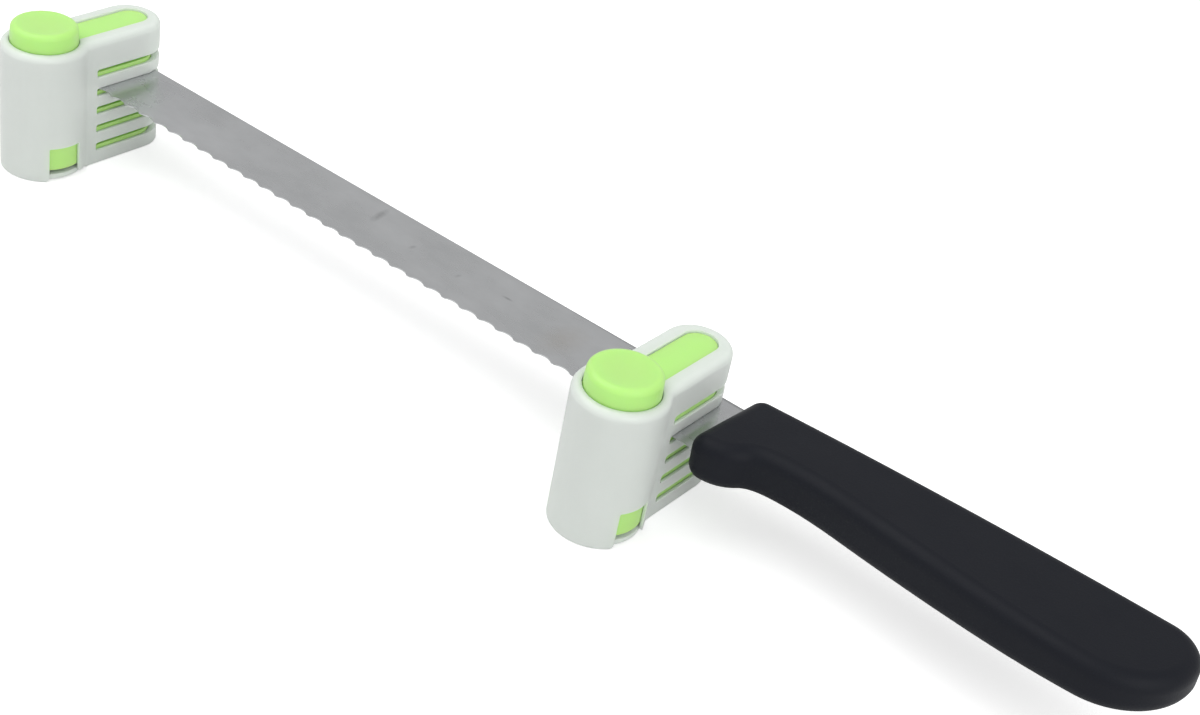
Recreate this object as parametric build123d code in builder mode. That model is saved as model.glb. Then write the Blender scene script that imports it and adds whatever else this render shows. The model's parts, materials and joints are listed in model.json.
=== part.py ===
from build123d import *
import os
from math import cos, radians, sin, sqrt

# A cake leveler: a serrated knife held flat by two identical slotted holders.
# X runs along the blade towards the handle, Y from the posts to the arm tips, Z up.
# The origin is the middle of the footprint, on the surface the holders stand on.
# All sizes are in millimetres.

# Holder shell
post_radius = 13.0
shell_height = 42.3
arm_width = 19.4
arm_reach = 42.2
arm_blend_radius = 6.0
shell_wall = 0.9
top_wall = 2.0
top_rounding = 2.1
foot_rounding = 0.4
tip_wall = 3.0

# Slots across the arm
slot_count = 5
slot_pitch = 6.38
slot_height = 2.5
slot_end = 12.7
slot_corner_radius = 0.7
slot_edge_rounding = 0.35
first_slot_drop = 9.7

# Window at the foot of the post
window_near_edge = -6.5
window_far_edge = 3.7
window_height = 11.5
window_corner_radius = 0.4
window_foot_rounding = 1.4
tongue_lift = 1.2
tongue_rounding = 1.0

# Press slider
button_radius = 10.25
button_draft_angle = 2.0
button_stand = 5.5
button_rounding = 1.8
button_clearance = 0.2
dish_depth = 0.45
dish_radius = 8.0
crown_thickness = 2.0
bar_width = 10.0
bar_end_gap = 4.0
bar_drop = 0.6
bar_rounding = 0.3
slider_clearance = 0.15
shoulder_gap = 0.05
cup_wall = 1.4
spare_travel = 0.2

# Return spring
wire_radius = 0.45
spring_mean_radius = 4.5
spring_pitch = 3.4
spring_seat_gap = 0.05
spigot_clearance = 0.3
spigot_height = 4.0

# Bottom cap
cap_thickness = 1.7
cap_recess = 0.5
cap_clearance = 0.05
cap_rounding = 0.5

# Knife blade
blade_length = 260.0
blade_thickness = 1.2
blade_heel_width = 25.2
blade_tip_width = 22.8
tip_spine_radius = 13.0
tip_edge_radius = 9.0
tooth_pitch = 6.66
tooth_depth = 1.1
tooth_flat_share = 0.16
plain_heel_length = 26.7
edge_thickness = 0.2
edge_grind_width = 6.0
heel_depth = 8.0
blade_edge_gap = 0.6
blade_seat_gap = 0.05
tang_width = 14.0
tang_length = 96.0
tang_offset = 8.0
tang_hole_radius = 2.6
tang_corner_radius = 4.0
tang_hole_shares = [0.25, 0.75]

# Knife handle, measured from its front and from the line of the blade's spine
handle_length = 133.3
handle_rise_angle = 2.0
front_thickness = 12.9
middle_thickness = 13.7
butt_thickness = 10.7
front_slant = 2.1
back_front_height = 2.1
back_end_height = 2.6
butt_back_radius = 11.3
butt_depth = 29.4
palm_place = 75.0
palm_depth = 26.6
grip_place = 48.0
grip_depth = 22.9
waist_place = 24.0
waist_depth = 20.9
guard_place = 5.0
guard_depth = 28.5
guard_radius = 13.0
guard_angle = 52.0
front_corner_radius = 4.4
handle_edge_rounding = 4.2

# Where the holders sit on the knife
slots_above_blade_count = 1
handle_to_arm = 5.9
tip_to_arm = 8.4

# One overrun serves every cut
overrun = 5.0

# Places worked out from the sizes
knife_length = blade_length + handle_length * cos(radians(handle_rise_angle))
blade_tip = -knife_length / 2
handle_front = blade_tip + blade_length
right_holder_x = handle_front - handle_to_arm - arm_width / 2
left_holder_x = blade_tip + tip_to_arm + arm_width / 2
post_y = -(arm_reach - post_radius) / 2

ceilings = [shell_height - first_slot_drop - slot * slot_pitch for slot in range(slot_count)]
blade_top = ceilings[slots_above_blade_count] - blade_seat_gap
blade_bottom = blade_top - blade_thickness
edge_y = post_y + slot_end + blade_edge_gap
spine_y = edge_y + blade_heel_width
tooth_count = int((blade_length - plain_heel_length - tip_edge_radius) / tooth_pitch)

cavity_radius = post_radius - shell_wall
cavity_width = arm_width - 2 * shell_wall
cavity_reach = arm_reach - tip_wall
bar_reach = arm_reach - bar_end_gap
ceiling_height = shell_height - top_wall
button_top = shell_height + button_stand
press_travel = slot_height - blade_thickness
cap_top = cap_recess + cap_thickness
slider_bottom = cap_top + press_travel + spare_travel


def level(x, z):
    """The plane of a holder's plan at height z, centred on its post."""
    return Plane(origin=(x, post_y, z))


def side_plane(x):
    """The plane across a holder, seen along X, with its origin at the post's foot."""
    return Plane(origin=(x, post_y, 0), x_dir=(0, 1, 0), z_dir=(1, 0, 0))


def grip_plane():
    """The handle's middle plane, which rises a little from the blade towards the butt."""
    rise = radians(handle_rise_angle)
    middle = (blade_top + blade_bottom) / 2
    return Plane(
        origin=(handle_front, spine_y, middle),
        x_dir=(cos(rise), 0, sin(rise)),
        z_dir=(-sin(rise), 0, cos(rise)),
    )


def keyhole(plane, radius, width, reach, blend=0):
    """Draws a disc with a straight arm whose end is round."""
    end_y = reach - width / 2
    neck_y = sqrt(radius**2 - (width / 2) ** 2)
    with BuildSketch(plane) as plan:
        Circle(radius)
        with Locations((0, end_y / 2)):
            Rectangle(width, end_y)
        with Locations((0, end_y)):
            Circle(width / 2)
        if blend:
            necks = plan.vertices().filter_by_position(Axis.Y, neck_y / 2, (neck_y + end_y) / 2)
            fillet(necks, blend)
    return plan.sketch


def slot_cut(x, low, high, start, corner):
    """Draws one slot across the arm, closed at its post end and open at the tip."""
    length = arm_reach + overrun - start
    with BuildSketch(side_plane(x)) as cut:
        with Locations((start + length / 2, (low + high) / 2)):
            Rectangle(length, high - low)
        fillet(cut.vertices().group_by(Axis.X)[0], corner)
    return cut.sketch


def foot_window(x):
    """Draws the window's outline with its flared foot, and the gap under the tongue."""
    low = -overrun
    rim_turn = window_foot_rounding
    tongue_end = sqrt(post_radius**2 - (arm_width / 2) ** 2)
    with BuildSketch(side_plane(x)) as window:
        with BuildLine():
            Polyline(
                (window_near_edge - rim_turn, low),
                (window_near_edge - rim_turn, 0),
            )
            RadiusArc((window_near_edge - rim_turn, 0), (window_near_edge, rim_turn), -rim_turn)
            Polyline(
                (window_near_edge, rim_turn),
                (window_near_edge, window_height),
                (window_far_edge, window_height),
                (window_far_edge, tongue_lift + tongue_rounding),
            )
            RadiusArc(
                (window_far_edge, tongue_lift + tongue_rounding),
                (window_far_edge + tongue_rounding, tongue_lift),
                -tongue_rounding,
            )
            Polyline(
                (window_far_edge + tongue_rounding, tongue_lift),
                (tongue_end - tongue_lift, tongue_lift),
                (tongue_end, 0),
                (tongue_end, low),
                (window_near_edge - rim_turn, low),
            )
        make_face()
        fillet(window.vertices().filter_by_position(Axis.Y, window_height, window_height), window_corner_radius)
    return window.sketch


def holder_shell(x):
    """The white casing: a round post and a slotted arm with thin walls."""
    with BuildPart() as shell:
        extrude(keyhole(level(x, 0), post_radius, arm_width, arm_reach, arm_blend_radius), amount=shell_height)
        fillet(shell.faces().sort_by(Axis.Z)[-1].edges(), top_rounding)
        fillet(shell.faces().sort_by(Axis.Z)[0].edges(), foot_rounding)

        # Cavity for the slider and the cap, open at the foot
        cavity = keyhole(level(x, 0), cavity_radius, cavity_width, cavity_reach)
        extrude(cavity, amount=ceiling_height, mode=Mode.SUBTRACT)

        # Keyhole opening in the top for the button and its bar
        opening = keyhole(
            level(x, ceiling_height),
            button_radius + button_clearance,
            bar_width + 2 * slider_clearance,
            bar_reach + slider_clearance,
        )
        extrude(opening, amount=top_wall, mode=Mode.SUBTRACT)

        # Slots for the blade
        for ceiling in ceilings:
            slot = slot_cut(x, ceiling - slot_height, ceiling, slot_end, slot_corner_radius)
            extrude(slot, amount=arm_width / 2 + overrun, both=True, mode=Mode.SUBTRACT)
        fillet(slot_rims(shell, x), slot_edge_rounding)

        # Window at the foot on each side of the post, and the lifted tongue beside it
        extrude(foot_window(x), amount=post_radius + overrun, both=True, mode=Mode.SUBTRACT)
    return shell


def slot_rims(shell, x):
    """The outer edges of the slots, on both faces of the arm and round its tip."""
    tip_centre = post_y + arm_reach - arm_width / 2
    rims = ShapeList()
    for ceiling in ceilings:
        for edge in shell.edges().filter_by_position(Axis.Z, ceiling - slot_height, ceiling):
            point = edge @ 0.5
            past_tip_centre = max(point.Y - tip_centre, 0)
            reach = sqrt((point.X - x) ** 2 + past_tip_centre**2)
            if abs(reach - arm_width / 2) < shell_wall / 4:
                rims.append(edge)
    return rims


def press_slider(x):
    """The green moulding: button, top bar, hollow cup and the comb of fingers."""
    radius = cavity_radius - slider_clearance
    width = cavity_width - 2 * slider_clearance
    reach = cavity_reach - slider_clearance
    shoulder = ceiling_height - shoulder_gap
    bar_top = shell_height - bar_drop
    with BuildPart() as slider:
        extrude(keyhole(level(x, slider_bottom), radius, width, reach), amount=shoulder - slider_bottom)
        bar = keyhole(level(x, shoulder), button_radius - button_clearance, bar_width, bar_reach)
        extrude(bar, amount=bar_top - shoulder)
        with BuildSketch(level(x, shoulder)):
            Circle(button_radius)
        extrude(amount=button_top - shoulder, taper=button_draft_angle)
        fillet(slider.edges().group_by(Axis.Z)[-1], button_rounding)
        bar_rim = slider.edges().filter_by_position(Axis.Z, bar_top, bar_top)
        fillet(bar_rim.sort_by(Axis.Y)[1:], bar_rounding)

        # Shallow dish for the thumb
        dish_sphere = (dish_radius**2 + dish_depth**2) / (2 * dish_depth)
        with Locations(level(x, button_top + dish_sphere - dish_depth)):
            Sphere(dish_sphere, mode=Mode.SUBTRACT)

        # Hollow of the cup, narrower inside the button
        with BuildSketch(level(x, slider_bottom)):
            Circle(radius - cup_wall)
        extrude(amount=shoulder - cup_wall - slider_bottom, mode=Mode.SUBTRACT)
        with BuildSketch(level(x, slider_bottom)):
            Circle(button_radius - 2 * cup_wall)
        extrude(amount=button_top - crown_thickness - slider_bottom, mode=Mode.SUBTRACT)

        # Fingers: the comb's slots line up with the shell's when the button is down
        finger_drop = blade_thickness + 2 * blade_seat_gap
        for ceiling in ceilings:
            gap_top = ceiling + press_travel + blade_seat_gap
            gap = slot_cut(x, ceiling - finger_drop, gap_top, slot_end - blade_edge_gap, slot_corner_radius)
            extrude(gap, amount=arm_width / 2, both=True, mode=Mode.SUBTRACT)
    return slider


def return_spring(x):
    """The compression spring between the cap and the crown of the button."""
    low = cap_top + wire_radius + spring_seat_gap
    high = button_top - crown_thickness - wire_radius - spring_seat_gap
    with BuildPart() as spring:
        with BuildLine(level(x, low)) as coil:
            Helix(pitch=spring_pitch, height=high - low, radius=spring_mean_radius)
        with BuildSketch(Plane(origin=coil.line @ 0, z_dir=coil.line % 0)):
            Circle(wire_radius)
        sweep(is_frenet=True)
    return spring


def bottom_cap(x):
    """The plate that closes the shell's foot, with a spigot for the spring."""
    radius = cavity_radius - cap_clearance
    width = cavity_width - 2 * cap_clearance
    reach = cavity_reach - cap_clearance
    with BuildPart() as cap:
        extrude(keyhole(level(x, cap_recess), radius, width, reach), amount=cap_thickness)
        fillet(cap.edges().group_by(Axis.Z)[0], cap_rounding)
        with BuildSketch(level(x, cap_top)):
            Circle(spring_mean_radius - wire_radius - spigot_clearance)
        extrude(amount=spigot_height)
    return cap


def tooth_tip(number):
    """The middle of one tooth's blunt tip, counted from the heel."""
    return (handle_front - plain_heel_length - number * tooth_pitch, edge_y)


def knife_blade():
    """The flat blade with its scalloped edge, and the tang inside the handle."""
    heel_end = handle_front + heel_depth
    tip_spine = (blade_tip, edge_y + blade_tip_width)
    tang_low = tang_offset - blade_heel_width
    half_flat = tooth_flat_share / 2
    with BuildPart() as blade:
        with BuildSketch(Plane.XY.offset(blade_bottom)):
            with BuildLine():
                FilletPolyline(
                    (handle_front, spine_y),
                    tip_spine,
                    (blade_tip, edge_y),
                    tooth_tip(tooth_count - half_flat),
                    radius=[tip_spine_radius, tip_edge_radius],
                )
                for number in range(tooth_count):
                    crown = (tooth_tip(number + 0.5)[0], edge_y + tooth_depth)
                    ThreePointArc(tooth_tip(number + 1 - half_flat), crown, tooth_tip(number + half_flat))
                for number in range(1, tooth_count):
                    Line(tooth_tip(number + half_flat), tooth_tip(number - half_flat))
                Polyline(
                    tooth_tip(half_flat), (heel_end, edge_y), (heel_end, spine_y), (handle_front, spine_y)
                )
            make_face()
        extrude(amount=blade_thickness)

        # Tang in the handle's plane, with its holes
        with BuildSketch(grip_plane().offset(-blade_thickness / 2)) as tang:
            with Locations(((heel_depth + tang_length) / 2, tang_low + tang_width / 2)):
                Rectangle(tang_length, tang_width)
            fillet(tang.vertices().group_by(Axis.X)[-1], tang_corner_radius)
            with Locations(*tang_holes()):
                Circle(tang_hole_radius, mode=Mode.SUBTRACT)
        extrude(amount=blade_thickness)

        # Ground from below to a thin edge
        with BuildSketch(Plane.YZ.offset(blade_tip - overrun)):
            with BuildLine():
                Polyline(
                    (edge_y - overrun, blade_bottom - overrun),
                    (edge_y - overrun, blade_top - edge_thickness),
                    (edge_y, blade_top - edge_thickness),
                    (edge_y + edge_grind_width, blade_bottom),
                    (edge_y + edge_grind_width, blade_bottom - overrun),
                    close=True,
                )
            make_face()
        extrude(amount=blade_length + overrun, mode=Mode.SUBTRACT)
    return blade


def tang_holes():
    """The holes through the tang that the handle's plastic fills."""
    middle_y = tang_offset - blade_heel_width + tang_width / 2
    return [(share * tang_length, middle_y) for share in tang_hole_shares]


def handle_outline():
    """Draws the handle seen from above: crowned back, round butt, waist and guard."""
    turn = radians(guard_angle)
    guard_heading = (-cos(turn), -sin(turn))
    guard_start = (guard_place + guard_radius * sin(turn), guard_radius * (1 - cos(turn)) - guard_depth)
    back_end = (handle_length - butt_back_radius, back_end_height)
    front_back = (front_slant, back_front_height)
    front_low = (0, -guard_depth)
    with BuildSketch(grip_plane()) as outline:
        with BuildLine():
            TangentArc(back_end, front_back, tangent=(-1, 0))
            upper = JernArc(back_end, (1, 0), butt_back_radius, -90)
            lower = JernArc(upper @ 1, (0, -1), (upper @ 1).Y + butt_depth, -90)
            belly = Spline(
                lower @ 1,
                (palm_place, -palm_depth),
                (grip_place, -grip_depth),
                (waist_place, -waist_depth),
                guard_start,
                tangents=[(-1, 0), guard_heading],
            )
            guard = JernArc(belly @ 1, guard_heading, guard_radius, -guard_angle)
            Polyline(guard @ 1, front_low, front_back)
        make_face()
        front = outline.vertices().sort_by(Axis.X)[:2]
        fillet(front, front_corner_radius)
    return outline.sketch


def handle_side():
    """Draws the handle seen from the side, thickest in the middle and thinnest at the butt."""
    upper = [
        (0, front_thickness / 2),
        (handle_length / 2, middle_thickness / 2),
        (handle_length, butt_thickness / 2),
    ]
    lower = [(place, -height) for place, height in reversed(upper)]
    grip = grip_plane()
    with BuildSketch(Plane(origin=grip.origin, x_dir=grip.x_dir, z_dir=-grip.y_dir)) as side:
        with BuildLine():
            top = ThreePointArc(*upper)
            bottom = ThreePointArc(*lower)
            Line(top @ 1, bottom @ 0)
            Line(bottom @ 1, top @ 0)
        make_face()
    return side.sketch


def knife_handle(blade):
    """The moulded handle around the tang."""
    with BuildPart() as handle:
        extrude(handle_outline(), amount=middle_thickness, both=True)
        extrude(handle_side(), amount=butt_depth + guard_depth, both=True, mode=Mode.INTERSECT)
        broad_faces = handle.faces().sort_by(SortBy.AREA)[-2:]
        fillet(broad_faces.edges(), handle_edge_rounding)
        add(blade.part, mode=Mode.SUBTRACT)
    return handle


os.makedirs("parts", exist_ok=True)

for side, x in {"left": left_holder_x, "right": right_holder_x}.items():
    shell = holder_shell(x)
    shell.part.label = f"{side}_holder_shell"
    export_step(shell.part, f"parts/{side}_holder_shell.step")

    slider = press_slider(x)
    slider.part.label = f"{side}_press_slider"
    export_step(slider.part, f"parts/{side}_press_slider.step")

    spring = return_spring(x)
    spring.part.label = f"{side}_return_spring"
    export_step(spring.part, f"parts/{side}_return_spring.step")

    cap = bottom_cap(x)
    cap.part.label = f"{side}_bottom_cap"
    export_step(cap.part, f"parts/{side}_bottom_cap.step")

blade = knife_blade()
blade.part.label = "knife_blade"
export_step(blade.part, "parts/knife_blade.step")

handle = knife_handle(blade)
handle.part.label = "knife_handle"
export_step(handle.part, "parts/knife_handle.step")

turns = (button_top - crown_thickness - cap_top) / spring_pitch
print(f"spring turns {turns:.1f}, least gap between turns {spring_pitch - 2 * wire_radius:.2f} mm")
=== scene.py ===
import json
from math import radians

import bpy
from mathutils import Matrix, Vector

# A cake leveler in its photographed view: a serrated knife held flat by two slotted holders.
# Lengths are in metres, in the same frame as the CAD model.

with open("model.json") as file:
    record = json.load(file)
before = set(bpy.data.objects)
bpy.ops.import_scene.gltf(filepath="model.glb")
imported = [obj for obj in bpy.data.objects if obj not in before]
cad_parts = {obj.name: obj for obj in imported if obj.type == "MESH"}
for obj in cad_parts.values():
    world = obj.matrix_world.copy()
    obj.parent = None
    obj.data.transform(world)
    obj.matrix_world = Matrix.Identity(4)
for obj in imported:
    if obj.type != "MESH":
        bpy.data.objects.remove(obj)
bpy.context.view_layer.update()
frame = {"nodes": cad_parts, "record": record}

# Camera, worked out from the photograph
camera_place = (0.25126, -0.34985, 0.30876)
camera_turn = (55.9878, -9.6225, 38.7216)
camera_lens = 56.919
sensor_width = 36
clip_start = 0.01

# Base colours
# The white's green cast is partly the plastic's own tint, partly painted green bounce light from the
# slider.
white_with_bounce_tint = (0.745, 0.81, 0.75)
green_colour = (0.50, 0.88, 0.245)
steel_colour = (0.60, 0.61, 0.62)
handle_colour = (0.0105, 0.0118, 0.0165)
wire_colour = (0.55, 0.55, 0.56)
stain_colour = (0.50, 0.46, 0.41)
paper_colour = (0.86, 0.86, 0.86)

# Light: the world's strength, and the floor's glow that only the camera sees
world_strength = 0.58
floor_glow = 0.47

# Marks on the blade: centre, half length, half width, direction in degrees and strength.
# The painted shade line along the spine has its place and width.
smears = [
    ((-0.0643, 0.0159), 0.0055, 0.0016, 100, 0.65),
    ((-0.0464, 0.0110), 0.0018, 0.0009, 80, 0.45),
    ((-0.0281, 0.0103), 0.0016, 0.0008, 82, 0.35),
    ((-0.0118, 0.0130), 0.0022, 0.0006, 2, 0.75),
]
stain = ((0.0112, 0.0097), 0.0100, 0.0070, 86, 0.45)
spine_place = 0.0239
spine_shade_width = 0.0012


class Shader:
    """A material whose nodes are added one by one."""

    def __init__(self, name):
        self.material = bpy.data.materials.new(name)
        self.material.use_nodes = True
        self.tree = self.material.node_tree
        self.tree.nodes.clear()
        self.output = self.tree.nodes.new("ShaderNodeOutputMaterial")
        self.place = self.add("ShaderNodeTexCoord").outputs["Object"]

    def add(self, kind, inputs=None, **settings):
        """Adds a node. An input is a plain value or another node's socket."""
        node = self.tree.nodes.new(kind)
        for name, value in settings.items():
            setattr(node, name, value)
        for name, value in (inputs or {}).items():
            socket = node.inputs[name]
            if isinstance(value, bpy.types.NodeSocket):
                self.tree.links.new(value, socket)
            else:
                socket.default_value = value
        return node

    def noise(self, scale, detail=3.0, stretch=(1, 1, 1), roughness=0.5):
        """Noise in the object's own space, drawn out along the axes by the stretch."""
        place = self.add("ShaderNodeMapping", {"Vector": self.place, "Scale": stretch}).outputs[0]
        inputs = {"Vector": place, "Scale": scale, "Detail": detail, "Roughness": roughness}
        return self.add("ShaderNodeTexNoise", inputs).outputs["Fac"]

    def remap(self, value, low, high, start=0.3, end=0.7):
        """Maps a value between start and end to the range low to high."""
        inputs = {"Value": value, "From Min": start, "From Max": end, "To Min": low, "To Max": high}
        return self.add("ShaderNodeMapRange", inputs).outputs[0]

    def mark(self, centre, half_length, half_width, direction, strength):
        """A cloudy streak on a level face, strongest at its middle."""
        patch = {
            "Vector": self.place,
            "Location": (*centre, 0),
            "Rotation": (0, 0, radians(direction)),
            "Scale": (half_length, half_width, 1),
        }
        local = self.add("ShaderNodeMapping", patch, vector_type="TEXTURE").outputs[0]
        away = self.add("ShaderNodeVectorMath", {0: local}, operation="LENGTH").outputs["Value"]
        near = self.remap(away, strength, 0, 0.1, 1)
        cloud = self.remap(self.noise(420, 4, roughness=0.6), 0.45, 1)
        return self.add("ShaderNodeMath", {0: near, 1: cloud}, operation="MULTIPLY").outputs[0]

    def tint(self, fac, first, second):
        """Mixes two colours, each a plain colour or another node's socket."""
        node = self.add("ShaderNodeMix", data_type="RGBA")
        self.tree.links.new(fac, node.inputs["Factor"])
        for number, colour in ((6, first), (7, second)):
            if isinstance(colour, bpy.types.NodeSocket):
                self.tree.links.new(colour, node.inputs[number])
            else:
                node.inputs[number].default_value = (*colour, 1)
        return node.outputs[2]

    def bump(self, height, distance, strength=1.0, normal=None):
        """A bump from a height; the distance is in metres."""
        inputs = {"Height": height, "Distance": distance, "Strength": strength}
        if normal:
            inputs["Normal"] = normal
        return self.add("ShaderNodeBump", inputs).outputs[0]

    def finish(self, surface):
        self.tree.links.new(surface.outputs[0], self.output.inputs["Surface"])
        return self.material


def shade(colour, factor):
    """The colour made lighter or darker."""
    return tuple(min(channel * factor, 1) for channel in colour)


def moulded_plastic(
    name, colour, rough, scatter=0.0, depth=(0.002, 0.002, 0.002), index=1.49, grain=0.00002
):
    """Moulded plastic with faint mottling, an uneven gloss and light passing under its fine skin."""
    shader = Shader(name)
    mottle = shader.noise(60, 4)
    skin = shader.noise(1800, 3)
    ripple = shader.noise(140, 2)
    bump = shader.bump(skin, grain, 0.6)
    bump = shader.bump(ripple, 0.00012, 0.25, bump)
    inputs = {
        "Base Color": shader.tint(mottle, shade(colour, 0.97), shade(colour, 1.02)),
        "Roughness": shader.remap(shader.noise(90, 5), rough - 0.05, rough + 0.07),
        "Normal": bump,
        "IOR": index,
        "Subsurface Weight": scatter,
        "Subsurface Radius": depth,
        "Subsurface Scale": 1.0,
    }
    return shader.finish(shader.add("ShaderNodeBsdfPrincipled", inputs))


def blade_steel():
    """Satin sheet steel with a faint grain, cloudy finger marks, streaks and a painted shade line at the
    spine.
    """
    shader = Shader("blade_steel")
    grain = shader.noise(900, 2, stretch=(0.03, 1, 1))
    cloud = shader.noise(70, 6, stretch=(0.6, 1, 1), roughness=0.62)
    colour = shader.tint(shader.remap(cloud, 0, 1), shade(steel_colour, 0.94), shade(steel_colour, 1.08))
    for smear in smears:
        colour = shader.tint(shader.mark(*smear), colour, shade(steel_colour, 0.45))
    colour = shader.tint(shader.mark(*stain), colour, stain_colour)
    # Painted shade: a darker band along the spine edge, standing in for its shadow.
    across = shader.add("ShaderNodeSeparateXYZ", {0: shader.place}).outputs["Y"]
    spine_shade = shader.remap(across, 0, 0.8, spine_place - spine_shade_width, spine_place)
    colour = shader.tint(spine_shade, colour, shade(steel_colour, 0.4))
    inputs = {
        "Base Color": colour,
        "Metallic": 1.0,
        "Roughness": shader.remap(cloud, 0.24, 0.33),
        "Normal": shader.bump(grain, 0.00002, 0.3),
    }
    return shader.finish(shader.add("ShaderNodeBsdfPrincipled", inputs))


def spring_wire():
    """Bright drawn wire."""
    shader = Shader("spring_steel")
    grain = shader.noise(1500, 2)
    inputs = {
        "Base Color": shader.tint(grain, shade(wire_colour, 0.9), shade(wire_colour, 1.05)),
        "Metallic": 1.0,
        "Roughness": shader.remap(grain, 0.22, 0.32),
    }
    return shader.finish(shader.add("ShaderNodeBsdfPrincipled", inputs))


finishes = {
    # The white plastic's base colour carries painted green bounce light from the slider.
    "white_plastic": moulded_plastic("white_plastic", white_with_bounce_tint, 0.34, 0.8, (0.0030, 0.0030, 0.0030)),
    "green_plastic": moulded_plastic(
        "green_plastic", green_colour, 0.34, 0.6, (0.0026, 0.0032, 0.0015), index=1.42
    ),
    "handle_plastic": moulded_plastic("handle_plastic", handle_colour, 0.46, index=1.22, grain=0.00006),
    "blade_steel": blade_steel(),
    "spring_steel": spring_wire(),
}

for subpart in frame["record"]["subparts"]:
    node = frame["nodes"][subpart["node"]]
    material = finishes[subpart["material_slot"]]
    if node.material_slots:
        for slot in node.material_slots:
            slot.material = material
    else:
        node.data.materials.append(material)

# Floor: white to the camera, plain to everything else; the world is an even white light
floor_size = 20.0
floor_drop = 0.0001
corner = floor_size / 2
mesh = bpy.data.meshes.new("floor")
corners = [(-corner, -corner, -floor_drop), (corner, -corner, -floor_drop)]
corners += [(corner, corner, -floor_drop), (-corner, corner, -floor_drop)]
mesh.from_pydata(corners, [], [(0, 1, 2, 3)])
floor = bpy.data.objects.new("floor", mesh)
bpy.context.scene.collection.objects.link(floor)

paper = Shader("paper")
seen = paper.add("ShaderNodeLightPath").outputs["Is Camera Ray"]
diffuse = paper.add("ShaderNodeBsdfDiffuse", {"Color": (*paper_colour, 1)})
strength = paper.remap(seen, 0, floor_glow, 0, 1)
glow = paper.add("ShaderNodeEmission", {"Color": (1, 1, 1, 1), "Strength": strength})
both = paper.add("ShaderNodeAddShader")
paper.tree.links.new(diffuse.outputs[0], both.inputs[0])
paper.tree.links.new(glow.outputs[0], both.inputs[1])
mesh.materials.append(paper.finish(both))

world = bpy.data.worlds.new("studio")
bpy.context.scene.world = world
world.use_nodes = True
background = world.node_tree.nodes["Background"]
background.inputs["Color"].default_value = (1, 1, 1, 1)
background.inputs["Strength"].default_value = world_strength


def area_light(name, place, size, power):
    """A square soft light aimed at the origin."""
    data = bpy.data.lights.new(name, "AREA")
    data.size = size
    data.energy = power
    lamp = bpy.data.objects.new(name, data)
    lamp.location = place
    lamp.rotation_euler = Vector(place).to_track_quat("Z", "Y").to_euler()
    bpy.context.scene.collection.objects.link(lamp)


area_light("key", (-0.5, -0.3, 1.1), 1.2, 7.5)
area_light("fill", (1.2, -0.4, 0.8), 1.3, 8.0)

camera_data = bpy.data.cameras.new("camera")
camera_data.lens = camera_lens
camera_data.sensor_width = sensor_width
camera_data.clip_start = clip_start
camera = bpy.data.objects.new("camera", camera_data)
camera.location = camera_place
camera.rotation_euler = [radians(angle) for angle in camera_turn]
bpy.context.scene.collection.objects.link(camera)
bpy.context.scene.camera = camera

bpy.context.scene.view_settings.view_transform = "Standard"
